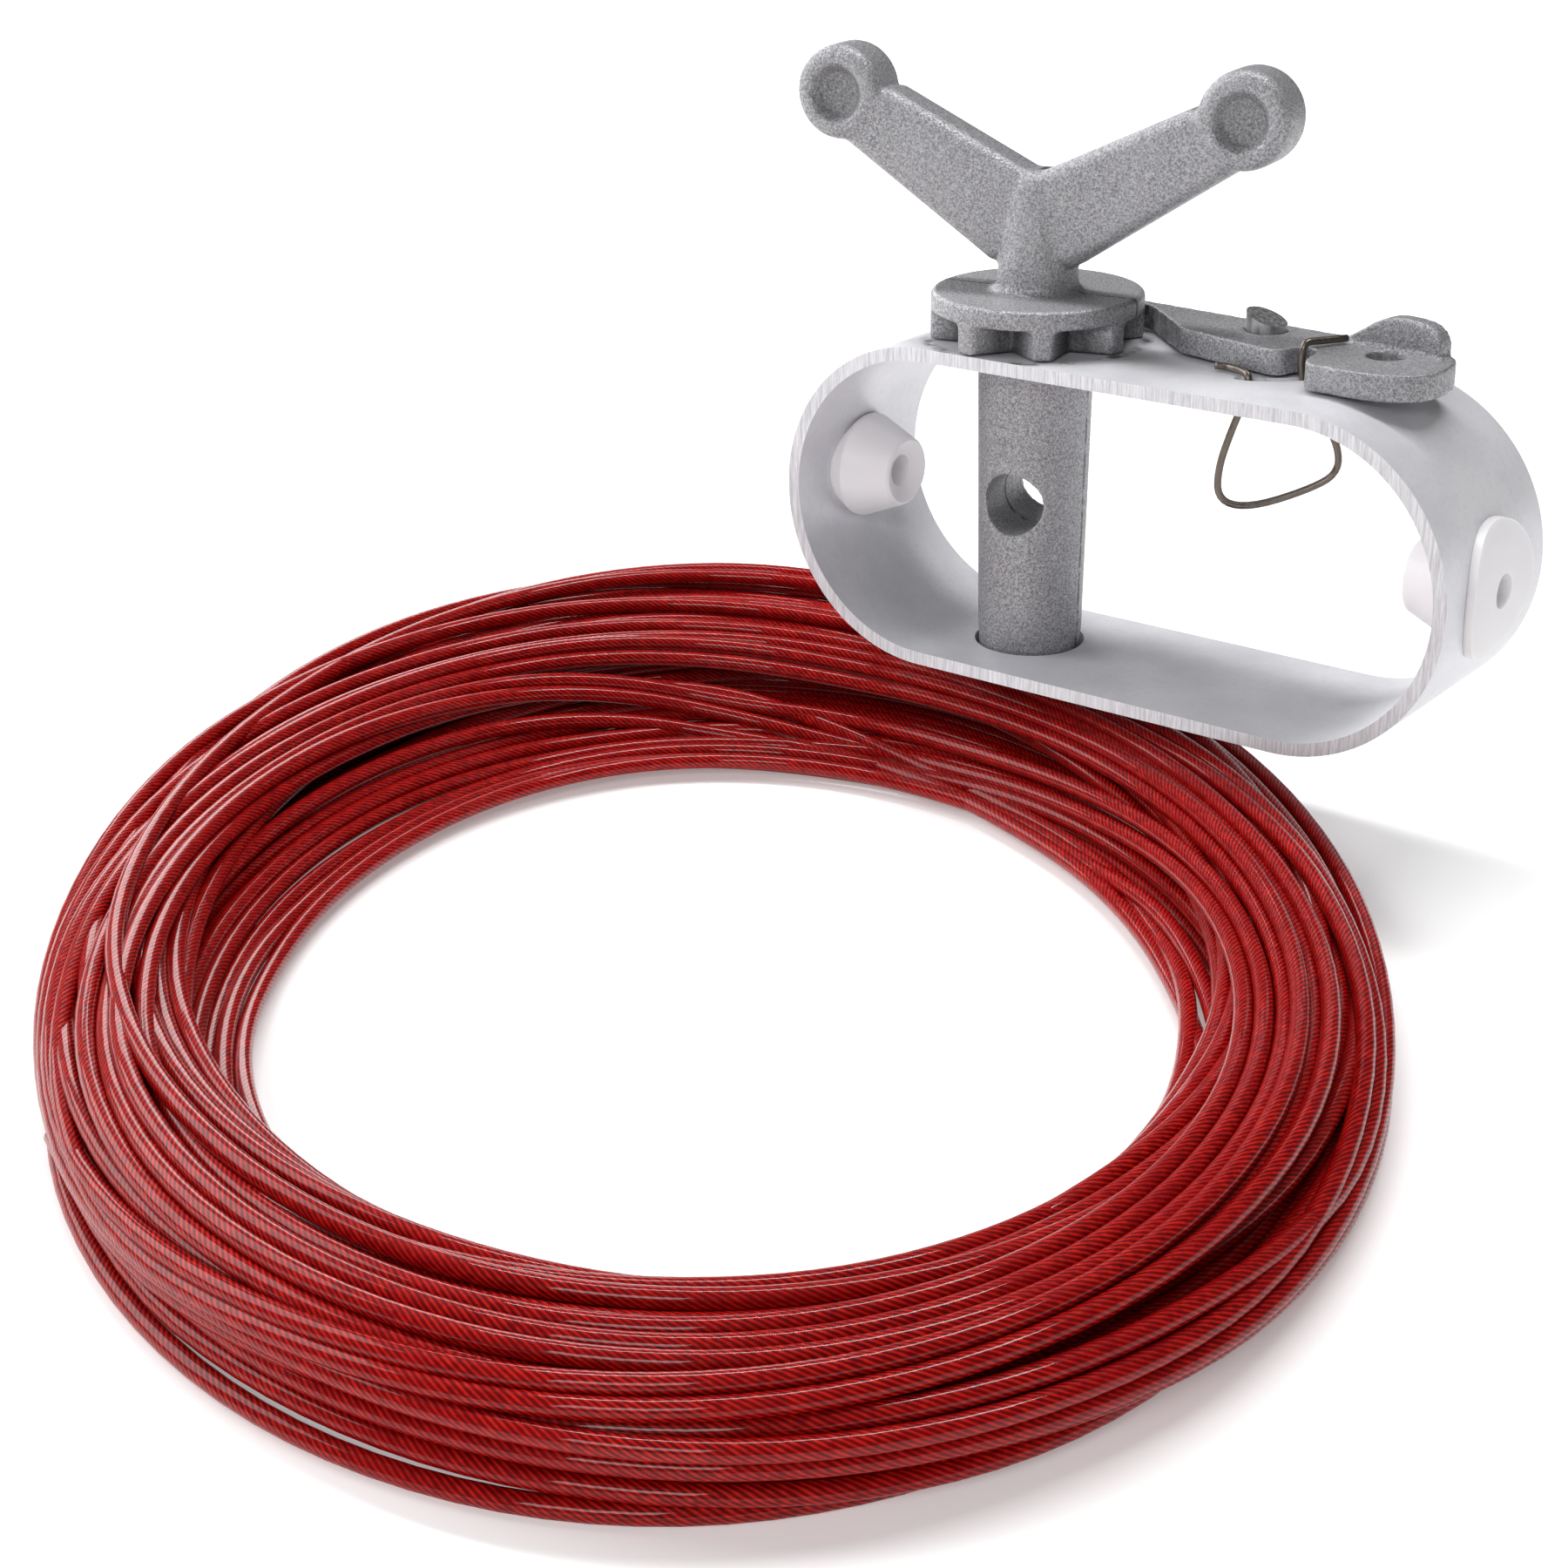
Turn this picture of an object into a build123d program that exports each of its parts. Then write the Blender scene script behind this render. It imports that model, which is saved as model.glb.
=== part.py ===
# Cable tightener winch: a sawn oval aluminium frame, a one-piece cast spindle with a vee handle,
# a cast pawl on a riveted pin with a wire spring, two plastic grommets, and its coil of cable.
# Units are millimetres, +Z up. The origin is the centre of the cable hole in the drum.
# +X runs along the frame towards the pawl, +Z along the spindle towards the handle.
import os
from math import cos, radians, sin

from build123d import *

os.makedirs("parts", exist_ok=True)

# Oval frame: a slice of oval tube standing on one of its flats
FRAME_LENGTH = 133.3
FRAME_HEIGHT = 60.0
FRAME_WIDTH = 38.1
WALL = 2.4
FRAME_CENTRE_X = 24.2
BASE_Z = -31.0
TOP_Z = BASE_Z + FRAME_HEIGHT
MID_Z = BASE_Z + FRAME_HEIGHT / 2
END_RADIUS = FRAME_HEIGHT / 2
END_OFFSET = FRAME_LENGTH / 2 - END_RADIUS

# Spindle: drum, ratchet and handle in one casting
DRUM_TOP_RADIUS = 10.5
DRUM_LOW_RADIUS = 9.7
JOURNAL_RADIUS = 9.5
JOURNAL_STEP = 4.4
DRUM_END_BELOW_BASE = 1.9
TOP_HOLE_RADIUS = 10.9
LOW_HOLE_RADIUS = 10.3
CABLE_HOLE_RADIUS = 5.7
RATCHET_RADIUS = 19.2
RATCHET_ROOT_RADIUS = 13.0
RATCHET_TEETH = 8
TOOTH_LAND = 9.5
TOOTH_PHASE = 36.0
TOOTH_LIFT = 0.2
TOOTH_DEPTH = 5.1
DISC_THICKNESS = 3.5
NECK_RADIUS = 7.3
HANDLE_TURN = 8.0
ARM_THICKNESS = 9.4
ARM_ROUNDING = 2.6
KNOB_OFFSET = 38.4
KNOB_HEIGHT = 101.4
KNOB_RADIUS = 8.4
KNOB_THICKNESS = 10.8
KNOB_ROUNDING = 2.4
DIMPLE_RADIUS = 5.3
DIMPLE_FLOOR_RADIUS = 3.6
DIMPLE_DEPTH = 2.2
CROTCH_HEIGHT = 90.2

# Retaining ring under the base
RING_GROOVE_RADIUS = 8.7
RING_OUTER_RADIUS = 12.0
RING_THICKNESS = 1.0
RING_DROP = 0.3
RING_GAP = 5.0

# Pawl, its pin and its spring
PIVOT_X = 41.0
PIVOT_Y = 9.5
PAWL_LIFT = 0.45
PAWL_THICKNESS = 4.6
PAWL_FIT = 0.1
PIN_RADIUS = 3.6
PIN_STEM_RADIUS = 3.0
PIN_SHOULDER_RADIUS = 6.0
PIN_PROUD = 3.2
PIN_TOP_SLOPE = 20.0
PIN_TOP_TURN = 0.0
PIN_TOP_DROP = 1.0
PIN_HEAD_RADIUS = 4.5
PIN_HEAD_HEIGHT = 1.2
PIN_FIT = 0.05
PAWL_HOLE_X = 66.1
PAWL_HOLE_Y = 4.3
PAWL_HOLE_RADIUS = 3.3
TAB_TURN = -8.9
TAB_THICKNESS = 3.6
TAB_HEIGHT = 5.5
TAB_LENGTH = 18.2
TAB_START = (57.0, 13.3)
WIRE_RADIUS = 0.65
SLOT_RADIUS = 15.0
SLOT_WIDTH = 2.4
SLOT_FROM = -77.0
SLOT_TO = -26.0

# Grommets in the two round ends
GROMMET_FLANGE_RADIUS = 12.0
GROMMET_FLANGE_THICKNESS = 1.5
GROMMET_BARREL_RADIUS = 9.2
GROMMET_CROWN_RADIUS = 6.4
GROMMET_LIP_RADIUS = 9.9
GROMMET_NOSE_RADIUS = 6.0
GROMMET_NOSE_LENGTH = 11.2
GROMMET_BORE_RADIUS = 3.0
GROMMET_FIT = 0.05

# Cable coil that the winch stands on
FLOOR_Z = BASE_Z - 24.0
COIL_HEIGHT = 21.7
COIL_TURN = -48.0
COIL_OUTER_CENTRE = (-0.8, -95.5)
COIL_OUTER = (154.5, 106.0)
COIL_INNER_CENTRE = (13.5, -111.5)
COIL_INNER = (90.0, 71.0)
COIL_ROUNDING = 9.5

PAWL_Z = TOP_Z + PAWL_LIFT
PAWL_TOP_Z = PAWL_Z + PAWL_THICKNESS
RATCHET_Z = TOP_Z + TOOTH_LIFT
DISC_Z = RATCHET_Z + TOOTH_DEPTH
DISC_TOP_Z = DISC_Z + DISC_THICKNESS
OVERSHOOT = 1.0


def save(part, label):
    part.label = label
    export_step(part, f"parts/{label}.step")


# Oval frame -----------------------------------------------------------------------------------
frame_plane = Plane(origin=(FRAME_CENTRE_X, FRAME_WIDTH / 2, MID_Z), x_dir=(1, 0, 0), z_dir=(0, -1, 0))
with BuildPart() as oval_frame:
    with BuildSketch(frame_plane):
        SlotCenterToCenter(2 * END_OFFSET, FRAME_HEIGHT)
        SlotCenterToCenter(2 * END_OFFSET, FRAME_HEIGHT - 2 * WALL, mode=Mode.SUBTRACT)
    extrude(amount=FRAME_WIDTH)
    # holes for the drum and the pawl's pin
    with BuildSketch(Plane.XY.offset(BASE_Z - OVERSHOOT)):
        Circle(LOW_HOLE_RADIUS)
    extrude(amount=WALL + 2 * OVERSHOOT, mode=Mode.SUBTRACT)
    with BuildSketch(Plane.XY.offset(TOP_Z - WALL - OVERSHOOT)):
        Circle(TOP_HOLE_RADIUS)
        with Locations((PIVOT_X, PIVOT_Y)):
            Circle(PIN_STEM_RADIUS + PIN_FIT)
    extrude(amount=WALL + 2 * OVERSHOOT, mode=Mode.SUBTRACT)
    # curved slot in which the spring's moving leg swings about the pin
    with BuildSketch(Plane.XY.offset(TOP_Z - WALL - OVERSHOOT)):
        with Locations((PIVOT_X, PIVOT_Y)):
            slot_arc = CenterArc((0, 0), SLOT_RADIUS, SLOT_FROM, SLOT_TO - SLOT_FROM)
            SlotArc(slot_arc, SLOT_WIDTH)
    extrude(amount=WALL + 2 * OVERSHOOT, mode=Mode.SUBTRACT)
    # grommet holes in the two round ends
    with BuildSketch(Plane.YZ.offset(FRAME_CENTRE_X - FRAME_LENGTH / 2 - OVERSHOOT)):
        with Locations((0, MID_Z)):
            Circle(GROMMET_BARREL_RADIUS)
    extrude(amount=FRAME_LENGTH + 2 * OVERSHOOT, mode=Mode.SUBTRACT)
save(oval_frame.part, "oval_frame")

# Winch spindle --------------------------------------------------------------------------------
handle_x = Vector(cos(radians(HANDLE_TURN)), sin(radians(HANDLE_TURN)), 0)
handle_normal = Vector(sin(radians(HANDLE_TURN)), -cos(radians(HANDLE_TURN)), 0)
handle_plane = Plane(origin=(0, 0, 0), x_dir=handle_x, z_dir=handle_normal)
knob_z = BASE_Z + KNOB_HEIGHT
crotch_z = BASE_Z + CROTCH_HEIGHT
drum_end_z = BASE_Z - DRUM_END_BELOW_BASE
groove_top_z = BASE_Z - RING_DROP + 0.05
groove_height = RING_THICKNESS + 0.1

# the two arms, a plate with rounded edges
with BuildPart() as handle_arms:
    with BuildSketch(handle_plane.offset(-ARM_THICKNESS / 2)):
        with BuildLine():
            Polyline(
                (-8.0, BASE_Z + 73.8),
                (8.0, BASE_Z + 73.8),
                (37.4, BASE_Z + 92.8),
                (KNOB_OFFSET, knob_z),
                (28.4, BASE_Z + 102.6),
                (1.5, crotch_z),
                (-1.5, crotch_z),
                (-28.4, BASE_Z + 102.6),
                (-KNOB_OFFSET, knob_z),
                (-37.4, BASE_Z + 92.8),
                close=True,
            )
        make_face()
    extrude(amount=ARM_THICKNESS)
    arm_faces = handle_arms.faces().filter_by(Plane(origin=(0, 0, 0), z_dir=handle_normal))
    fillet(arm_faces.edges(), radius=ARM_ROUNDING)

# the two thumb knobs with a dimple in each face
with BuildPart() as handle_knobs:
    with BuildSketch(handle_plane.offset(-KNOB_THICKNESS / 2)):
        with Locations((-KNOB_OFFSET, knob_z), (KNOB_OFFSET, knob_z)):
            Circle(KNOB_RADIUS)
    extrude(amount=KNOB_THICKNESS)
    fillet(handle_knobs.edges().filter_by(GeomType.CIRCLE), radius=KNOB_ROUNDING)

with BuildPart() as winch_spindle:
    # turned shape: journal, tapered drum, ratchet blank, neck and the column up to the vee
    with BuildSketch(Plane.XZ):
        with BuildLine():
            Polyline(
                (0, drum_end_z),
                (JOURNAL_RADIUS - 0.4, drum_end_z),
                (JOURNAL_RADIUS, drum_end_z + 0.4),
                (JOURNAL_RADIUS, BASE_Z + JOURNAL_STEP),
                (DRUM_LOW_RADIUS, BASE_Z + JOURNAL_STEP + 0.2),
                (DRUM_TOP_RADIUS, TOP_Z - WALL),
                (DRUM_TOP_RADIUS, RATCHET_Z),
                (RATCHET_RADIUS, RATCHET_Z),
                (RATCHET_RADIUS, DISC_TOP_Z - 0.5),
                (RATCHET_RADIUS - 0.5, DISC_TOP_Z),
                (NECK_RADIUS + 1.4, DISC_TOP_Z),
                (NECK_RADIUS + 0.4, DISC_TOP_Z + 0.4),
                (NECK_RADIUS, DISC_TOP_Z + 1.4),
                (NECK_RADIUS - 0.1, BASE_Z + 74),
                (NECK_RADIUS - 1.9, crotch_z - 2.4),
                (NECK_RADIUS - 2.7, crotch_z - 0.9),
                (NECK_RADIUS - 4.0, crotch_z - 0.4),
                (0, crotch_z - 0.1),
                close=True,
            )
        make_face()
    revolve(axis=Axis.Z)
    # vee gullets between the ratchet teeth
    half_pitch = 180 / RATCHET_TEETH
    half_gullet = half_pitch - TOOTH_LAND / 2
    flank_run = RATCHET_RADIUS * cos(radians(half_gullet)) - RATCHET_ROOT_RADIUS
    flank_rise = RATCHET_RADIUS * sin(radians(half_gullet))
    gullet = [
        Vector(RATCHET_ROOT_RADIUS, 0, 0),
        Vector(RATCHET_ROOT_RADIUS + 1.4 * flank_run, -1.4 * flank_rise, 0),
        Vector(RATCHET_ROOT_RADIUS + 1.4 * flank_run, 1.4 * flank_rise, 0),
    ]
    with BuildSketch(Plane.XY.offset(RATCHET_Z)):
        for tooth in range(RATCHET_TEETH):
            turn = TOOTH_PHASE + (2 * tooth + 1) * half_pitch
            with BuildLine():
                Polyline(*[corner.rotate(Axis.Z, turn) for corner in gullet], close=True)
            make_face()
    extrude(amount=TOOTH_DEPTH, mode=Mode.SUBTRACT)
    add(handle_arms.part)
    add(handle_knobs.part)
    # dimples in both faces of both knobs
    for side in (-1, 1):
        for face in (-1, 1):
            dimple_origin = handle_x * side * KNOB_OFFSET + Vector(0, 0, knob_z)
            dimple_origin = dimple_origin + handle_normal * face * (KNOB_THICKNESS / 2 - DIMPLE_DEPTH)
            with Locations(Plane(origin=dimple_origin, z_dir=handle_normal * face)):
                Cone(
                    DIMPLE_FLOOR_RADIUS,
                    DIMPLE_RADIUS,
                    DIMPLE_DEPTH,
                    align=(Align.CENTER, Align.CENTER, Align.MIN),
                    mode=Mode.SUBTRACT,
                )
    # cable hole straight through the drum, square to the handle
    with BuildSketch(handle_plane.offset(-DRUM_TOP_RADIUS - OVERSHOOT)):
        Circle(CABLE_HOLE_RADIUS)
    extrude(amount=2 * (DRUM_TOP_RADIUS + OVERSHOOT), mode=Mode.SUBTRACT)
    # groove for the retaining ring
    with BuildSketch(Plane.XY.offset(groove_top_z - groove_height)):
        Circle(JOURNAL_RADIUS + OVERSHOOT)
        Circle(RING_GROOVE_RADIUS, mode=Mode.SUBTRACT)
    extrude(amount=groove_height, mode=Mode.SUBTRACT)
save(winch_spindle.part, "winch_spindle")

# Spindle retaining ring -----------------------------------------------------------------------
with BuildPart() as spindle_retaining_ring:
    with BuildSketch(Plane.XY.offset(BASE_Z - RING_DROP - RING_THICKNESS)):
        Circle(RING_OUTER_RADIUS)
        Circle(RING_GROOVE_RADIUS + 0.05, mode=Mode.SUBTRACT)
        # gap between the ring's two ends
        with Locations((0, RING_OUTER_RADIUS)):
            Rectangle(RING_GAP, RING_OUTER_RADIUS, mode=Mode.SUBTRACT)
    extrude(amount=RING_THICKNESS)
save(spindle_retaining_ring.part, "spindle_retaining_ring")

# Pawl -----------------------------------------------------------------------------------------
tab_x = Vector(cos(radians(TAB_TURN)), sin(radians(TAB_TURN)), 0)
tab_front = (sin(radians(TAB_TURN)), -cos(radians(TAB_TURN)), 0)
tab_plane = Plane(origin=TAB_START + (PAWL_TOP_Z,), x_dir=tab_x, z_dir=tab_front)
with BuildPart() as pawl:
    with BuildSketch(Plane.XY.offset(PAWL_Z)):
        with BuildLine():
            # back edge, round end, edge of the lobe, spring notch, rounded corner, front edge and nose
            Polyline((9.4, 17.6), (57.0, 13.3), (74.2, 10.6))
            Spline(
                (74.2, 10.6),
                (77.0, 8.0),
                (78.0, 3.5),
                (77.3, -3.4),
                (72.6, -7.6),
                (65.0, -8.5),
                (58.6, -8.3),
            )
            Spline(
                (58.6, -8.3),
                (55.9, -3.0),
                (54.6, 1.4),
                (53.0, 2.6),
                (51.4, 1.4),
                (50.6, -0.6),
            )
            ThreePointArc((50.6, -0.6), (49.5, -2.2), (47.6, -2.5))
            Polyline(
                (47.6, -2.5),
                (28.5, 2.2),
                (16.0, 13.9),
                (13.4, 15.0),
                (10.2, 16.75),
                (9.4, 17.6),
            )
        make_face()
        with Locations((PIVOT_X, PIVOT_Y)):
            Circle(PIN_RADIUS + PAWL_FIT, mode=Mode.SUBTRACT)
        with Locations((PAWL_HOLE_X, PAWL_HOLE_Y)):
            Circle(PAWL_HOLE_RADIUS, mode=Mode.SUBTRACT)
    extrude(amount=PAWL_THICKNESS)
    # upright finger tab along the back edge
    with BuildSketch(tab_plane):
        with BuildLine():
            Polyline((-2.0, 0.0), (-2.0, -1.0), (TAB_LENGTH, -1.0), (TAB_LENGTH, 1.5))
            Spline(
                (TAB_LENGTH, 1.5),
                (16.9, 4.3),
                (12.5, TAB_HEIGHT),
                (7.0, 5.0),
                (2.0, 2.2),
                (-2.0, 0.0),
            )
        make_face()
    extrude(amount=TAB_THICKNESS)
save(pawl.part, "pawl")

# Pawl pivot pin -------------------------------------------------------------------------------
pin_top_z = PAWL_TOP_Z + PIN_PROUD
shear_normal = Vector(0, 0, 1).rotate(Axis.Y, PIN_TOP_SLOPE).rotate(Axis.Z, PIN_TOP_TURN)
head_z = TOP_Z - WALL - PIN_FIT
with BuildPart() as pawl_pivot_pin:
    with BuildSketch(Plane(origin=(PIVOT_X, PIVOT_Y, 0), x_dir=(1, 0, 0), z_dir=(0, -1, 0))):
        with BuildLine():
            Polyline(
                (0, head_z - PIN_HEAD_HEIGHT),
                (PIN_HEAD_RADIUS - 0.9, head_z - PIN_HEAD_HEIGHT),
                (PIN_HEAD_RADIUS, head_z - 0.45),
                (PIN_HEAD_RADIUS, head_z),
                (PIN_STEM_RADIUS, head_z),
                (PIN_STEM_RADIUS, TOP_Z + 0.03),
                (PIN_SHOULDER_RADIUS, TOP_Z + 0.03),
                (PIN_SHOULDER_RADIUS, PAWL_Z - PIN_FIT),
                (PIN_RADIUS, PAWL_Z - PIN_FIT),
                (PIN_RADIUS, pin_top_z + 2),
                (0, pin_top_z + 2),
                close=True,
            )
        make_face()
    revolve(axis=Axis(origin=(PIVOT_X, PIVOT_Y, 0), direction=(0, 0, 1)))
    # sheared top, lower towards the front right
    shear = Plane(origin=(PIVOT_X, PIVOT_Y, pin_top_z - PIN_TOP_DROP), z_dir=shear_normal)
    split(bisect_by=shear, keep=Keep.BOTTOM)
save(pawl_pivot_pin.part, "pawl_pivot_pin")

# Pawl spring ----------------------------------------------------------------------------------
hook_z = TOP_Z + WIRE_RADIUS + 0.2
over_z = PAWL_TOP_Z + WIRE_RADIUS + 0.2
with BuildPart() as pawl_spring:
    with BuildLine() as spring_wire:
        # hook on the frame, leg down through the slot, open loop, leg up the notch, end over the pawl
        Spline(
            (38.2, -3.0, hook_z),
            (39.8, -2.6, hook_z),
            (41.4, -2.7, hook_z),
            (43.2, -3.6, hook_z),
            (44.8, -4.5, hook_z - 0.1),
            (45.7, -5.0, TOP_Z - 1.2),
            (44.0, -6.2, BASE_Z + 53.5),
            (42.5, -7.4, BASE_Z + 44.0),
            (43.8, -6.4, BASE_Z + 40.1),
            (46.8, -4.0, BASE_Z + 38.5),
            (54.4, 2.0, BASE_Z + 40.7),
            (57.2, 4.2, BASE_Z + 43.2),
            (57.9, 4.8, BASE_Z + 47.6),
            (53.4, 1.1, TOP_Z - 1.2),
            (52.7, 0.3, TOP_Z + 3.0),
            (53.0, 1.3, over_z - 0.1),
            (53.9, 3.0, over_z + 0.15),
            (55.2, 5.3, over_z + 0.1),
            (56.9, 8.3, over_z),
        )
    with BuildSketch(Plane(origin=spring_wire.line @ 0, z_dir=spring_wire.line % 0)):
        Circle(WIRE_RADIUS)
    sweep()
save(pawl_spring.part, "pawl_spring")


# Grommets -------------------------------------------------------------------------------------
def grommet_plane(side):
    """Plane on the outermost point of this end of the frame, facing outwards."""
    return Plane(
        origin=(FRAME_CENTRE_X + side * FRAME_LENGTH / 2, 0, MID_Z), x_dir=(0, side, 0), z_dir=(side, 0, 0)
    )


def grommet_shell(side):
    """Cheek of the grommet, curved to lie on the frame's round end."""
    cheek_origin = (FRAME_CENTRE_X, GROMMET_FLANGE_RADIUS + 2, MID_Z)
    with BuildPart() as cheek:
        with BuildSketch(Plane(origin=cheek_origin, x_dir=(1, 0, 0), z_dir=(0, -1, 0))):
            SlotCenterToCenter(2 * END_OFFSET, FRAME_HEIGHT + 2 * GROMMET_FLANGE_THICKNESS)
            SlotCenterToCenter(2 * END_OFFSET, FRAME_HEIGHT + 2 * GROMMET_FIT, mode=Mode.SUBTRACT)
        extrude(amount=2 * GROMMET_FLANGE_RADIUS + 4)
        with BuildSketch(grommet_plane(side).offset(-GROMMET_FLANGE_RADIUS)):
            Circle(GROMMET_FLANGE_RADIUS)
        extrude(amount=2 * GROMMET_FLANGE_RADIUS, mode=Mode.INTERSECT)
    return cheek.part


def grommet_core():
    """Outline of barrel, snap lip, tapered nose and its dished tip, as radius and depth."""
    return [
        (GROMMET_BORE_RADIUS, 0.8),
        (GROMMET_CROWN_RADIUS, 0.8),
        (GROMMET_BARREL_RADIUS - GROMMET_FIT, 0.15),
        (GROMMET_BARREL_RADIUS - GROMMET_FIT, -WALL - 2.1),
        (GROMMET_LIP_RADIUS, -WALL - 2.2),
        (GROMMET_LIP_RADIUS, -WALL - 2.9),
        (GROMMET_NOSE_RADIUS + 0.5, -WALL - GROMMET_NOSE_LENGTH),
        (GROMMET_NOSE_RADIUS, -WALL - GROMMET_NOSE_LENGTH - 0.4),
        (GROMMET_BORE_RADIUS, -WALL - GROMMET_NOSE_LENGTH + 1.2),
    ]


left_cheek = grommet_shell(-1)
right_cheek = grommet_shell(1)

with BuildPart() as grommet_left:
    with BuildSketch(Plane(origin=grommet_plane(-1).origin, x_dir=(0, 1, 0), z_dir=(0, 0, 1))):
        with BuildLine():
            Polyline(*grommet_core(), close=True)
        make_face()
    revolve(axis=Axis(origin=grommet_plane(-1).origin, direction=(-1, 0, 0)))
    add(left_cheek)
    with BuildSketch(grommet_plane(-1).offset(-WALL - GROMMET_NOSE_LENGTH - 2)):
        Circle(GROMMET_BORE_RADIUS)
    extrude(amount=WALL + GROMMET_NOSE_LENGTH + 6, mode=Mode.SUBTRACT)
save(grommet_left.part, "grommet_left")

with BuildPart() as grommet_right:
    with BuildSketch(Plane(origin=grommet_plane(1).origin, x_dir=(0, 1, 0), z_dir=(0, 0, -1))):
        with BuildLine():
            Polyline(*grommet_core(), close=True)
        make_face()
    revolve(axis=Axis(origin=grommet_plane(1).origin, direction=(1, 0, 0)))
    add(right_cheek)
    with BuildSketch(grommet_plane(1).offset(-WALL - GROMMET_NOSE_LENGTH - 2)):
        Circle(GROMMET_BORE_RADIUS)
    extrude(amount=WALL + GROMMET_NOSE_LENGTH + 6, mode=Mode.SUBTRACT)
save(grommet_right.part, "grommet_right")

# Cable coil -----------------------------------------------------------------------------------
with BuildPart() as cable_coil:
    with BuildSketch(Plane.XY.offset(FLOOR_Z)):
        with Locations(Location(COIL_OUTER_CENTRE + (0,), (0, 0, COIL_TURN))):
            Ellipse(*COIL_OUTER)
        with Locations(Location(COIL_INNER_CENTRE + (0,), (0, 0, COIL_TURN))):
            Ellipse(*COIL_INNER, mode=Mode.SUBTRACT)
    extrude(amount=COIL_HEIGHT)
    coil_rims = cable_coil.faces().filter_by(Axis.Z).edges()
    fillet(coil_rims, radius=COIL_ROUNDING)
save(cable_coil.part, "cable_coil")
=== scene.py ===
"""Looks of the small hand ratchet cable tightener and its loose coil of red coated cable."""

from math import cos, pi, radians, sin

import bpy
import numpy as np
from mathutils import Matrix, Vector


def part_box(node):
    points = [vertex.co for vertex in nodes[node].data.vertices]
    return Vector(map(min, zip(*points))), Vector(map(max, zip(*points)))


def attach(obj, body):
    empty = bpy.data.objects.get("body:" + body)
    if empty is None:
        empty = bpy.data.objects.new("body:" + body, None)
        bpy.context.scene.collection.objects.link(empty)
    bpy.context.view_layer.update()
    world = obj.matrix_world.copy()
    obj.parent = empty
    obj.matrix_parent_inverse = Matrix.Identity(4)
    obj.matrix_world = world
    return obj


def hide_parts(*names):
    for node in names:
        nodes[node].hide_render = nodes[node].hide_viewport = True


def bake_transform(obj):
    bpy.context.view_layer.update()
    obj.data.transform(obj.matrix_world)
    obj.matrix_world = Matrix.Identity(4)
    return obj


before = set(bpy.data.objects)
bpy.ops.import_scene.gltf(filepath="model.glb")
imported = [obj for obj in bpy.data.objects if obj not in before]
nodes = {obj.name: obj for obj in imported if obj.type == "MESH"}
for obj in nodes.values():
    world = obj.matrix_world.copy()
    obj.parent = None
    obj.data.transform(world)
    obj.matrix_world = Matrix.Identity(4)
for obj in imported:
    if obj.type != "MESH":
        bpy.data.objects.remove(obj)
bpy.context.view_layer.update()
scene = bpy.context.scene
MM = 0.001
scene.view_settings.view_transform = "Standard"

# Camera, as the photograph was taken
CAMERA_PLACE = (0.25084, -0.3950, 0.14205)
CAMERA_TURN = radians(38.169)
CAMERA_PITCH = radians(23.269)
CAMERA_ROLL = radians(-0.886)
LENS = 60.0
SENSOR = 36.0

FLOOR_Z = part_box("cable_coil")[0][2]
FRAME_TOP_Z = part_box("oval_frame")[1][2]
FLOOR_HALF_SIZE = 6.0

# Places on the parts where their surface changes; each pair of radii is where a painted shade (in the
# gullets with dark residue) fades out
DISC_TOP_Z = FRAME_TOP_Z + 0.0088
DISC_THICKNESS = 0.0035
HANDLE_TURN = radians(8.0)
KNOB_PLACE = (0.0384, 0.0704)
DIMPLE_RADII = (0.0036, 0.0052)
PIT_PLACE = (0.0012, 0.0592)
PIT_RADII = (0.0008, 0.0014)
GULLET_RADII = (0.0150, 0.0185)
SCUFF_RADIUS = 0.0197
SPINDLE_TONE = 0.32
PAWL_TONE = 0.31
# The rope's wires: metres along the cable from one to the next, and how many go round it
WIRE_STEP = 0.0013
WIRES = 11

# Cable coil, in millimetres; its long axis points at the camera
CABLE_DIAMETER = 3.0
COIL_TURN = radians(-48.0)
COIL_OUTER_CENTRE = (-0.8, -95.5)
COIL_OUTER = (156.0, 106.0)
COIL_INNER_CENTRE = (14.8, -112.9)
COIL_INNER = (95.0, 72.0)
COIL_TOP = 20.5
COIL_TURNS = 45.6
POINTS_PER_TURN = 24
COIL_END_ANGLE = radians(128.0)
# Ribbons of turns, lowest first: the angle at which each swings out, how far it swings, and where
# it lies between the coil's inner edge (0) and outer edge (1)
COIL_RIBBONS = [
    (-30.0, 0.12, 0.72),
    (110.0, 0.20, 0.72),
    (10.0, 0.22, 0.30),
    (200.0, 0.20, 0.50),
    (185.0, 0.30, 0.45),
    (-35.0, 0.28, 0.55),
]
RIBBON_HALF_WIDTH = 6.0
RIBBON_SPREAD = 0.14
# The pile stands higher at the back, by this much round this angle
BACK_RISE = 5.0
BACK_ANGLE = radians(192.0)
BACK_SPREAD = 0.42
# One loose turn bows out from the others at the front left
LOOSE_TURN = 1.18
LOOSE_ANGLE = radians(-27.0)
LOOSE_SPREAD = 0.35
LOOSE_REACH = 1.5
# The other turns keep this far inside the coil's edge there
TUCK = 4.5
# How far the turns stray at random, across and up, in millimetres
STRAY_ACROSS = 2.2
STRAY_UP = 1.6
# Easing the strands apart: how often, how close their middles may lie, and how strongly each time
# they go back to their ribbon, straighten and part
EASINGS = 160
STRAND_GAP = CABLE_DIAMETER * 1.04
PULL_BACK = 0.05
STRAIGHTEN = 0.35
PART = 0.42


# Helpers ----------------------------------------------------------------------------------------
def new_object(name, data):
    thing = bpy.data.objects.new(name, data)
    scene.collection.objects.link(thing)
    return thing


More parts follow.
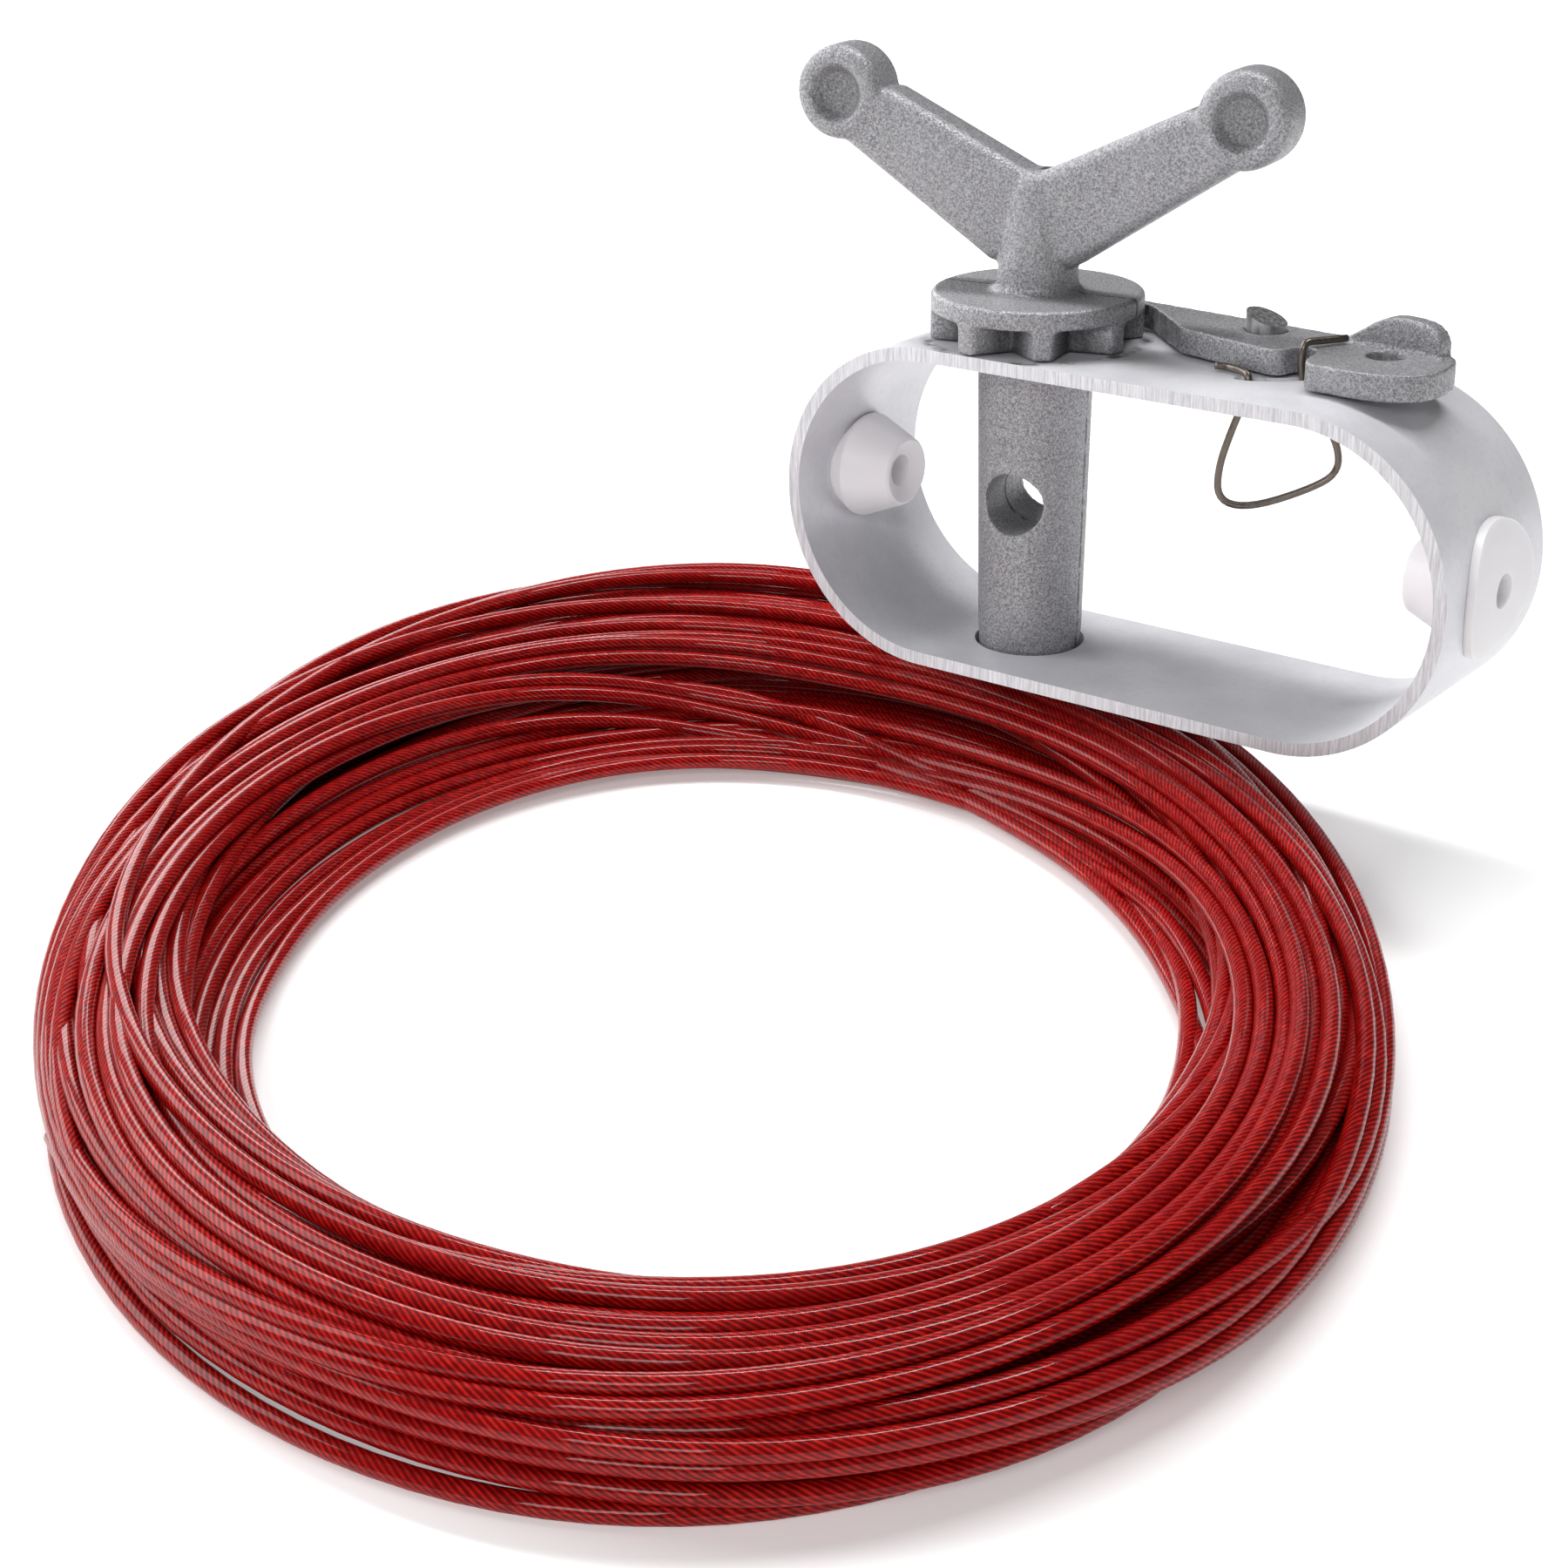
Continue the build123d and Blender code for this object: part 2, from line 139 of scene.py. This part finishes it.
def nurbs_line(name, points):
    """A smooth open spline with these points, in metres, as its control points."""
    curve = bpy.data.curves.new(name, "CURVE")
    curve.dimensions = "3D"
    spline = curve.splines.new("NURBS")
    spline.points.add(len(points) - 1)
    for control, point in zip(spline.points, points):
        control.co = (*point, 1.0)
    spline.order_u = 3
    spline.use_endpoint_u = True
    spline.resolution_u = 5
    return curve


def line_points(curve):
    """Points along a curve that has no bevel."""
    guide = bpy.data.objects.new("guide", curve)
    scene.collection.objects.link(guide)
    bpy.context.view_layer.update()
    mesh = bpy.data.meshes.new_from_object(guide.evaluated_get(bpy.context.evaluated_depsgraph_get()))
    points = np.array([vertex.co[:] for vertex in mesh.vertices])
    bpy.data.objects.remove(guide)
    bpy.data.meshes.remove(mesh)
    return points


def tube(name, points, radius, sides=12):
    """Closed mesh tube along these points; its UV is the metres along it and the turn round it."""
    steps = np.linalg.norm(np.diff(points, axis=0), axis=1)
    along = np.concatenate([[0.0], np.cumsum(steps)])
    tangents = np.gradient(points, axis=0)
    tangents /= np.linalg.norm(tangents, axis=1)[:, None]
    side = np.cross(tangents[0], (0.0, 0.0, 1.0))
    rings = []
    for tangent, point in zip(tangents, points):
        side = side - tangent * side.dot(tangent)
        side /= np.linalg.norm(side)
        up = np.cross(side, tangent)
        turn = np.arange(sides) * 2 * pi / sides
        rings.append(point + radius * (np.outer(np.cos(turn), side) + np.outer(np.sin(turn), up)))
    vertices = np.concatenate(rings + [points[:1], points[-1:]])
    faces = []
    uvs = []
    for i in range(len(points) - 1):
        for j in range(sides):
            n = (j + 1) % sides
            faces.append((i * sides + j, i * sides + n, (i + 1) * sides + n, (i + 1) * sides + j))
            near, far = along[i], along[i + 1]
            uvs += [(near, j / sides), (near, (j + 1) / sides), (far, (j + 1) / sides), (far, j / sides)]
    last = (len(points) - 1) * sides
    for j in range(sides):
        n = (j + 1) % sides
        faces.append((n, j, len(vertices) - 2))
        faces.append((last + j, last + n, len(vertices) - 1))
        uvs += [(0.0, 0.0)] * 3 + [(along[-1], 0.0)] * 3
    mesh = bpy.data.meshes.new(name)
    mesh.from_pydata(vertices.tolist(), [], faces)
    layer = mesh.uv_layers.new(name="UVMap")
    layer.data.foreach_set("uv", np.array(uvs).ravel())
    mesh.polygons.foreach_set("use_smooth", [True] * len(mesh.polygons))
    mesh.update()
    return new_object(name, mesh)


# Materials --------------------------------------------------------------------------------------
class Shader:
    """A new material's node tree, with short calls for adding and joining nodes."""

    def __init__(self, name, **values):
        self.material = bpy.data.materials.new(name)
        self.material.use_nodes = True
        self.nodes = self.material.node_tree.nodes
        self.links = self.material.node_tree.links
        self.surface = self.nodes["Principled BSDF"]
        self.set(self.surface, **values)

    def set(self, node, **values):
        for key, value in values.items():
            node.inputs[key.replace("_", " ")].default_value = value

    def add(self, kind, settings=None, **values):
        node = self.nodes.new(kind)
        for key, value in (settings or {}).items():
            setattr(node, key, value)
        self.set(node, **values)
        return node

    def join(self, source, target, key):
        self.links.new(source, target.inputs[key])

    def place(self, output="Object"):
        return self.add("ShaderNodeTexCoord").outputs[output]

    def noise(self, scale, detail=2.0, roughness=0.5, place=None):
        node = self.add("ShaderNodeTexNoise", Scale=scale, Detail=detail, Roughness=roughness)
        self.join(place or self.place(), node, "Vector")
        return node.outputs["Fac"]

    def ramp(self, source, *stops):
        """Colour ramp through (position, colour) stops."""
        node = self.add("ShaderNodeValToRGB")
        while len(node.color_ramp.elements) < len(stops):
            node.color_ramp.elements.new(1.0)
        for element, (position, colour) in zip(node.color_ramp.elements, stops):
            element.position = position
            element.color = (*colour, 1.0)
        self.join(source, node, "Fac")
        return node.outputs["Color"]

    def spread(self, source, low, high, from_low=0.0, from_high=1.0):
        """Goes from low to high as the source goes from from_low to from_high."""
        node = self.add("ShaderNodeMapRange")
        node.inputs["From Min"].default_value = from_low
        node.inputs["From Max"].default_value = from_high
        node.inputs["To Min"].default_value = low
        node.inputs["To Max"].default_value = high
        self.join(source, node, "Value")
        return node.outputs["Result"]

    def maths(self, operation, first, second=None):
        node = self.add("ShaderNodeMath", {"operation": operation})
        for socket, value in zip(node.inputs, (first, second)):
            if value is None:
                continue
            if isinstance(value, (int, float)):
                socket.default_value = value
            else:
                self.links.new(value, socket)
        return node.outputs[0]

    def distance(self, first, second):
        """Length of the flat vector with these two parts."""
        first_square = self.maths("MULTIPLY", first, first)
        second_square = self.maths("MULTIPLY", second, second)
        return self.maths("SQRT", self.maths("ADD", first_square, second_square))

    def mix(self, factor, first, second):
        """Colour that goes from the first to the second as the factor goes from 0 to 1."""
        node = self.add("ShaderNodeMix", {"data_type": "RGBA"})
        for key, value in ((0, factor), (6, first), (7, second)):
            if isinstance(value, (int, float)):
                node.inputs[key].default_value = value
            elif isinstance(value, tuple):
                node.inputs[key].default_value = (*value, 1.0)
            else:
                self.links.new(value, node.inputs[key])
        return node.outputs[2]

    def bump(self, height, strength, distance):
        node = self.add("ShaderNodeBump", Strength=strength, Distance=distance)
        self.join(height, node, "Height")
        return node.outputs["Normal"]

    def split(self, vector):
        node = self.add("ShaderNodeSeparateXYZ")
        self.join(vector, node, "Vector")
        return node.outputs

    def stretched(self, scale, turn=(0.0, 0.0, 0.0), output="Object"):
        node = self.add("ShaderNodeMapping", Scale=scale, Rotation=turn)
        self.join(self.place(output), node, "Vector")
        return node.outputs["Vector"]


def cast_metal(name, tone):
    """Grey sand casting, tumbled: salt-and-pepper grain, a cloudy tone and a sandy bump."""
    s = Shader(name, Metallic=0.4)
    grain = s.noise(2300.0, 2.0, 0.8)
    cloud = s.noise(70.0, 3.0, 0.6)
    sparkle = s.spread(s.noise(3900.0, 1.0, 0.5), 0.0, 0.45, 0.60, 0.70)
    dark, light = tone * 0.5, tone * 1.25
    base = s.ramp(grain, (0.38, (dark, dark, dark * 1.08)), (0.62, (light, light, light * 1.04)))
    base = s.mix(s.spread(cloud, 0.0, 0.25, 0.4, 0.7), base, (tone * 1.15, tone * 1.15, tone * 1.2))
    base = s.mix(sparkle, base, (0.7, 0.7, 0.74))
    s.join(s.spread(grain, 0.52, 0.36, 0.35, 0.65), s.surface, "Roughness")
    height = s.maths("ADD", grain, s.maths("MULTIPLY", s.noise(1000.0, 2.0), 0.9))
    s.join(s.bump(height, 0.75, 0.00022), s.surface, "Normal")
    return s, base


def spindle_metal():
    """Casting with a parting line across the disc, painted shading in the dimples and in a pit at the
    crotch, and painted shading with dark residue in the gullets.
    """
    s, base = cast_metal("spindle_cast", SPINDLE_TONE)
    place = s.split(s.stretched((1.0, 1.0, 1.0), (0.0, 0.0, -HANDLE_TURN)))
    ragged = s.maths("MULTIPLY", s.maths("SUBTRACT", s.noise(900.0, 2.0), 0.5), 0.0007)
    off_plane = s.maths("ABSOLUTE", s.maths("ADD", place["Y"], ragged))
    on_line = s.spread(off_plane, 1.0, 0.0, 0.0002, 0.0005)
    on_line = s.maths("MULTIPLY", on_line, s.spread(s.noise(420.0, 1.0), 0.2, 1.0, 0.38, 0.50))
    on_disc = s.spread(place["Z"], 1.0, 0.0, DISC_TOP_Z + 0.0004, DISC_TOP_Z + 0.0008)
    flecks = s.maths("MULTIPLY", on_line, s.maths("MULTIPLY", on_disc, 0.85))
    across = s.maths("SUBTRACT", s.maths("ABSOLUTE", place["X"]), KNOB_PLACE[0])
    above = s.maths("SUBTRACT", place["Z"], KNOB_PLACE[1])
    # Painted shade: the knobs' dimples darkened where their hollows fall in shade.
    dimple_shade = s.spread(s.distance(across, above), 0.35, 0.0, *DIMPLE_RADII)
    # Partly painted shade, partly dark residue: the ratchet's gullets darkened between the frame top and
    # the disc's underside.
    gullet_shade_and_residue = s.spread(s.distance(place["X"], place["Y"]), 0.7, 0.0, *GULLET_RADII)
    disc_under_z = DISC_TOP_Z - DISC_THICKNESS
    under_disc = s.spread(place["Z"], 1.0, 0.0, disc_under_z - 0.0004, disc_under_z + 0.0001)
    above_frame = s.spread(place["Z"], 0.0, 1.0, FRAME_TOP_Z - 0.0004, FRAME_TOP_Z)
    shade_and_marks = s.maths("MULTIPLY", gullet_shade_and_residue, s.maths("MULTIPLY", under_disc, above_frame))
    # Painted shade: a near-black spot for the shade in a pit at the crotch.
    beside_pit = s.maths("SUBTRACT", place["X"], PIT_PLACE[0])
    above_pit = s.maths("SUBTRACT", place["Z"], PIT_PLACE[1])
    in_pit = s.spread(s.distance(beside_pit, above_pit), 0.9, 0.0, *PIT_RADII)
    pit = s.maths("MULTIPLY", in_pit, s.spread(place["Y"], 0.0, 1.0, -0.0016, -0.0008))
    # Painted shade of the gullets, dimples and pit, with the gullets' dark residue and the real
    # parting-line flecks, all mixed towards near-black.
    shade_and_marks = s.maths("MAXIMUM", s.maths("MAXIMUM", shade_and_marks, dimple_shade), s.maths("MAXIMUM", pit, flecks))
    s.join(s.mix(shade_and_marks, base, (0.02, 0.02, 0.022)), s.surface, "Base Color")
    return s.material


def pawl_metal():
    """Casting, darker in broken patches on its nose beside the ratchet, least on upward faces."""
    s, base = cast_metal("pawl_cast", PAWL_TONE)
    place = s.split(s.place())
    # Darker in broken patches on the nose beside the ratchet, most on its side faces and least on upward
    # ones.
    nose = s.spread(place["X"], 0.75, 0.0, 0.017, 0.034)
    patch = s.maths("MULTIPLY", nose, s.spread(s.noise(300.0, 2.0), 0.0, 1.0, 0.38, 0.55))
    upright = s.split(s.add("ShaderNodeNewGeometry").outputs["Normal"])["Z"]
    patch = s.maths("MULTIPLY", patch, s.spread(upright, 1.0, 0.25, 0.5, 0.9))
    s.join(s.mix(patch, base, (0.03, 0.03, 0.035)), s.surface, "Base Color")
    return s.material


def tube_aluminium():
    """Mill-finish oval tube: faint cloudy stains, scuffs round the ratchet and pale sawn edges."""
    s = Shader("oval_tube", Metallic=0.3)
    cloud = s.noise(38.0, 4.0, 0.6)
    speck = s.noise(900.0, 3.0, 0.7)
    streak = s.noise(1.0, 3.0, 0.6, s.stretched((2500.0, 60.0, 2500.0)))
    wall = s.ramp(cloud, (0.35, (0.67, 0.67, 0.71)), (0.65, (0.79, 0.79, 0.82)))
    wall = s.mix(s.spread(speck, 0.0, 0.25, 0.5, 0.7), wall, (0.55, 0.55, 0.59))
    place = s.split(s.place())
    reach = s.distance(place["X"], place["Y"])
    ring = s.spread(s.maths("ABSOLUTE", s.maths("SUBTRACT", reach, SCUFF_RADIUS)), 1.0, 0.0, 0.0004, 0.0017)
    on_top = s.spread(place["Z"], 0.0, 1.0, FRAME_TOP_Z - 0.001, FRAME_TOP_Z - 0.0005)
    broken = s.spread(s.noise(260.0, 3.0), 0.0, 0.9, 0.45, 0.62)
    scuff = s.maths("MULTIPLY", s.maths("MULTIPLY", ring, on_top), broken)
    wall = s.mix(scuff, wall, (0.10, 0.09, 0.085))
    sawn = s.noise(1.0, 3.0, 0.7, s.stretched((2600.0, 300.0, 160.0), (0.0, radians(14), 0.0)))
    edge = s.ramp(sawn, (0.34, (0.50, 0.50, 0.53)), (0.64, (0.76, 0.76, 0.79)))
    normal = s.split(s.add("ShaderNodeNewGeometry").outputs["Normal"])
    on_edge = s.spread(s.maths("ABSOLUTE", normal["Y"]), 0.0, 1.0, 0.8, 0.9)
    s.join(s.mix(on_edge, wall, edge), s.surface, "Base Color")
    s.join(s.spread(on_edge, 0.3, 0.2), s.surface, "Metallic")
    s.join(s.spread(cloud, 0.36, 0.48, 0.3, 0.7), s.surface, "Roughness")
    wall_height = s.maths("MULTIPLY", streak, 0.2)
    edge_height = s.maths("MULTIPLY", s.maths("MULTIPLY", sawn, on_edge), 0.7)
    s.join(s.bump(s.maths("ADD", wall_height, edge_height), 0.4, 0.00010), s.surface, "Normal")
    return s.material


def plain_steel(name, colour, roughness):
    """Drawn or sheared steel with fine drawing marks."""
    s = Shader(name, Metallic=1.0)
    mark = s.noise(1.0, 3.0, 0.6, s.stretched((1600.0, 1600.0, 200.0)))
    dark = tuple(part * 0.7 for part in colour)
    s.join(s.ramp(mark, (0.3, dark), (0.65, colour)), s.surface, "Base Color")
    s.join(s.spread(mark, roughness - 0.08, roughness + 0.1, 0.3, 0.7), s.surface, "Roughness")
    s.join(s.bump(mark, 0.3, 0.00005), s.surface, "Normal")
    return s.material


def milky_plastic():
    """Translucent white moulding with a faint haze."""
    s = Shader(
        "milky_plastic", Base_Color=(0.83, 0.81, 0.83, 1.0), Subsurface_Weight=0.6,
        Subsurface_Scale=0.002, IOR=1.48,
    )
    s.surface.inputs["Subsurface Radius"].default_value = (1.0, 1.0, 1.0)
    haze = s.noise(160.0, 3.0)
    s.join(s.spread(haze, 0.32, 0.48, 0.3, 0.7), s.surface, "Roughness")
    s.join(s.bump(haze, 0.12, 0.0002), s.surface, "Normal")
    return s.material


def coated_cable():
    """Clear red coating over a twisted wire rope: fine slanting wires under a glossy skin."""
    s = Shader(
        "coated_cable", Coat_Weight=0.5, Coat_Roughness=0.05, Coat_IOR=1.42,
        Specular_IOR_Level=0.05,
    )
    uv = s.split(s.place("UV"))
    along = s.maths("MULTIPLY", uv["X"], 2 * pi / WIRE_STEP)
    around = s.maths("MULTIPLY", uv["Y"], 2 * pi * WIRES)
    wire = s.spread(s.maths("SINE", s.maths("ADD", along, around)), 0.0, 1.0, -1.0, 1.0)
    grain = s.noise(700.0, 2.0)
    rope = s.maths("ADD", s.maths("MULTIPLY", wire, 0.45), s.maths("MULTIPLY", grain, 0.55))
    deep, red, bright = (0.10, 0.0, 0.001), (0.23, 0.0005, 0.002), (0.52, 0.016, 0.008)
    colour = s.ramp(rope, (0.25, deep), (0.5, red), (0.78, bright))
    cloud = s.noise(60.0, 2.0)
    colour = s.mix(s.spread(cloud, 0.0, 0.35, 0.4, 0.7), colour, (0.24, 0.001, 0.003))
    s.join(colour, s.surface, "Base Color")
    s.join(s.spread(rope, 0.45, 0.30), s.surface, "Roughness")
    s.join(s.bump(wire, 0.5, 0.00007), s.surface, "Normal")
    return s.material


def give(thing, material):
    thing.data.materials.clear()
    thing.data.materials.append(material)


def give_node(name, material):
    """Materials of a CAD node are changed in its object's own slots."""
    node = nodes[name]
    for index in range(len(node.material_slots)):
        node.material_slots[index].link = "OBJECT"
        node.material_slots[index].material = material


# Castings: edges and inner corners rounded as they come out of the mould ------------------------
def soften(name, voxel, rounds):
    """A CAD node's own modifiers round its sharp edges like a casting's."""
    remesh = nodes[name].modifiers.new("mould", "REMESH")
    remesh.mode = "VOXEL"
    remesh.voxel_size = voxel
    remesh.use_smooth_shade = True
    smooth = nodes[name].modifiers.new("tumbled", "SMOOTH")
    smooth.factor = 0.5
    smooth.iterations = rounds


# Coil of cable ----------------------------------------------------------------------------------
def coil_edge(centre, axes, angle):
    """Point on one of the coil's two ovals, in millimetres, angle 0 nearest the camera."""
    long = axes[0] * np.cos(angle)
    short = axes[1] * np.sin(angle)
    x = centre[0] + long * cos(COIL_TURN) - short * sin(COIL_TURN)
    y = centre[1] + long * sin(COIL_TURN) + short * cos(COIL_TURN)
    return np.stack([x, y], axis=-1)


def near_angle(angle, middle, spread):
    """1 at the middle angle, falling to 0 within about two spreads, in radians."""
    apart = (angle - middle + pi) % (2 * pi) - pi
    return np.exp(-((apart / spread) ** 2))


def lay_coil():
    """The cable's control points: turns laid in ribbons that swing across each other, then eased
    apart until no two strands share the same place."""
    turns = int(COIL_TURNS) + 1
    count = int(COIL_TURNS * POINTS_PER_TURN)
    spare = turns * POINTS_PER_TURN - count
    step = np.arange(turns * POINTS_PER_TURN) - spare
    real = step >= 0
    angle = COIL_END_ANGLE + (step - count + 1) * 2 * pi / POINTS_PER_TURN
    progress = np.clip(step / count, 0, 0.9999)
    inner = coil_edge(COIL_INNER_CENTRE, COIL_INNER, angle)
    outer = coil_edge(COIL_OUTER_CENTRE, COIL_OUTER, angle)
    width = np.linalg.norm(outer - inner, axis=1)
    share = 0.5 + progress * (len(COIL_RIBBONS) - 0.5)
    ribbons = np.repeat(np.array(COIL_RIBBONS), 2, axis=0)
    ribbon_ends = np.repeat(np.arange(len(COIL_RIBBONS)), 2) + np.tile([0.08, 0.92], len(COIL_RIBBONS))
    phase = np.interp(share, ribbon_ends, np.unwrap(np.radians(ribbons[:, 0])))
    swing = np.interp(share, ribbon_ends, ribbons[:, 1])
    middle = np.interp(share, ribbon_ends, ribbons[:, 2])
    sweep = np.abs((share % 2) - 1) * 2 - 1
    wander = 0.03 * np.sin(angle * 2 + share * 5) + 0.025 * np.sin(angle * 3 - share * 9)
    across = (middle + swing * np.cos(angle - phase) + wander) * width
    across += (RIBBON_HALF_WIDTH + RIBBON_SPREAD * width) * sweep
    bow = near_angle(angle, LOOSE_ANGLE, LOOSE_SPREAD)
    loose = np.abs(step / POINTS_PER_TURN - LOOSE_TURN) < 0.5
    reach = width + np.where(loose, LOOSE_REACH, -TUCK) * bow
    halves = np.arange(2 * turns + 2)
    stray = np.random.default_rng(11).normal(size=(2, 2 * turns + 2))
    across += STRAY_ACROSS * np.interp(step * 2 / POINTS_PER_TURN, halves, stray[0])
    across = np.clip(across + loose * bow * width, 0.0, reach)
    lean = (0.4 - 0.6 * np.cos(angle)) * (across / width - 0.5) * 9.0
    lowest = CABLE_DIAMETER / 2
    pile = COIL_TOP + BACK_RISE * near_angle(angle, BACK_ANGLE, BACK_SPREAD) - CABLE_DIAMETER
    height = lowest + pile * (0.06 + 0.9 * progress) + lean
    height += STRAY_UP * np.interp(step * 2 / POINTS_PER_TURN, halves, stray[1])
    target = np.stack([across, height], axis=1)
    place = target.copy()
    use = real.reshape(turns, POINTS_PER_TURN).T
    both = use[:, :, None] * use[:, None, :]
    for _ in range(EASINGS):
        place += PULL_BACK * (target - place)
        place[1:-1] += STRAIGHTEN * (0.5 * (place[:-2] + place[2:]) - place[1:-1])
        by_section = place.reshape(turns, POINTS_PER_TURN, 2).transpose(1, 0, 2)
        gap = by_section[:, :, None, :] - by_section[:, None, :, :]
        distance = np.linalg.norm(gap, axis=3) + np.eye(turns) * 1e3
        push = np.clip(STRAND_GAP - distance, 0, None) * both
        shift = (gap / distance[..., None] * push[..., None]).sum(axis=2) * PART
        place += shift.transpose(1, 0, 2).reshape(-1, 2)
        place[:, 0] = np.clip(place[:, 0], 0.0, reach)
        side = place[:, 0] / width * 2 - 1
        slump = np.abs(side + 0.2 * np.cos(angle) - 0.15) ** 3.0 * 0.75
        crown = lowest + pile * np.clip(1 - slump, 0.1, 1)
        place[:, 1] = np.clip(place[:, 1], lowest, crown)
    flat = inner + (outer - inner) * (place[:, 0] / width)[:, None]
    points = np.column_stack([flat * MM, FLOOR_Z + place[:, 1] * MM])
    return points[real]


cable_points = line_points(nurbs_line("cable_route", lay_coil()))
cable = tube("cable", cable_points, CABLE_DIAMETER / 2 * MM)
give(cable, coated_cable())
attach(cable, "frame")
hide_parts("cable_coil")

# Pawl spring ------------------------------------------------------------------------------------
# Route in millimetres, from the hook on the frame to the end over the pawl
SPRING_ROUTE = [
    (38.2, -3.0, 29.9),
    (39.8, -2.6, 29.9),
    (41.6, -2.8, 29.9),
    (44.0, -4.0, 30.0),
    (45.9, -5.0, 29.6),
    (45.6, -5.1, 26.0),
    (44.0, -6.2, 21.0),
    (42.2, -7.6, 13.5),
    (42.4, -7.5, 7.6),
    (46.8, -4.0, 6.2),
    (54.6, 2.2, 9.3),
    (58.6, 5.4, 12.2),
    (58.2, 5.0, 17.6),
    (54.6, 2.1, 24.5),
    (52.6, 0.5, 29.5),
    (52.7, 0.2, 33.4),
    (52.9, 1.0, 35.2),
    (54.0, 3.2, 35.1),
    (56.9, 8.3, 34.95),
]
WIRE_RADIUS = 0.65
spring_line = nurbs_line("spring_route", [tuple(c * MM for c in point) for point in SPRING_ROUTE])
spring = tube("spring_wire", line_points(spring_line), WIRE_RADIUS * MM, 10)
give(spring, plain_steel("spring_wire", (0.20, 0.17, 0.145), 0.36))
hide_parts("pawl_spring")
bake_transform(spring)

# CAD nodes --------------------------------------------------------------------------------------
give_node("oval_frame", tube_aluminium())
give_node("winch_spindle", spindle_metal())
give_node("pawl", pawl_metal())
give_node("pawl_pivot_pin", plain_steel("pin_steel", (0.46, 0.46, 0.47), 0.4))
give_node("spindle_retaining_ring", plain_steel("ring_steel", (0.42, 0.42, 0.43), 0.35))
plastic = milky_plastic()
give_node("grommet_left", plastic)
give_node("grommet_right", plastic)
soften("winch_spindle", 0.00045, 5)
soften("pawl", 0.0004, 4)


# Floor, light and camera ------------------------------------------------------------------------
def floor():
    mesh = bpy.data.meshes.new("floor")
    half = FLOOR_HALF_SIZE
    corners = [(-half, -half, 0), (half, -half, 0), (half, half, 0), (-half, half, 0)]
    mesh.from_pydata(corners, [], [(0, 1, 2, 3)])
    plane = new_object("floor", mesh)
    plane.location.z = FLOOR_Z - 0.0001
    s = Shader("floor", Base_Color=(0.9, 0.9, 0.9, 1.0), Roughness=0.9, Emission_Color=(1.0, 1.0, 1.0, 1.0))
    distance = s.add("ShaderNodeVectorMath", {"operation": "LENGTH"})
    s.join(s.place(), distance, "Vector")
    s.join(s.spread(distance.outputs["Value"], 0.25, 0.9, 0.2, 0.7), s.surface, "Emission Strength")
    give(plane, s.material)


def lamp(name, place, aim, size, power):
    data = bpy.data.lights.new(name, "AREA")
    data.shape = "RECTANGLE"
    data.size, data.size_y = size
    data.energy = power
    thing = new_object(name, data)
    thing.location = place
    thing.rotation_euler = (Vector(aim) - Vector(place)).to_track_quat("-Z", "Y").to_euler()


def sky(strength):
    world = bpy.data.worlds.new("studio")
    scene.world = world
    world.use_nodes = True
    world.node_tree.nodes["Background"].inputs["Color"].default_value = (1.0, 1.0, 1.0, 1.0)
    world.node_tree.nodes["Background"].inputs["Strength"].default_value = strength


def camera():
    level = cos(CAMERA_PITCH)
    back = Vector((sin(CAMERA_TURN) * level, -cos(CAMERA_TURN) * level, sin(CAMERA_PITCH)))
    right = Vector((cos(CAMERA_TURN), sin(CAMERA_TURN), 0.0))
    up = back.cross(right)
    rolled_right = right * cos(CAMERA_ROLL) + up * sin(CAMERA_ROLL)
    rolled_up = up * cos(CAMERA_ROLL) - right * sin(CAMERA_ROLL)
    data = bpy.data.cameras.new("camera")
    data.lens = LENS
    data.sensor_width = SENSOR
    data.clip_start = 0.01
    thing = new_object("camera", data)
    turn = Matrix((rolled_right, rolled_up, back)).transposed().to_4x4()
    thing.matrix_world = Matrix.Translation(CAMERA_PLACE) @ turn
    scene.camera = thing


floor()
sky(0.1)
lamp("top", (-0.05, 0.15, 0.9), (0.0, -0.06, -0.02), (0.9, 0.12), 8.0)
lamp("left", (-0.75, -0.35, 0.5), (0.0, -0.06, 0.0), (0.7, 0.7), 7.0)
lamp("back", (-0.75, 0.42, 0.3), (-0.05, -0.1, -0.05), (0.5, 0.3), 2.6)
lamp("front", (0.3, -0.9, 0.5), (0.0, -0.06, 0.0), (0.4, 0.3), 3.2)
camera()
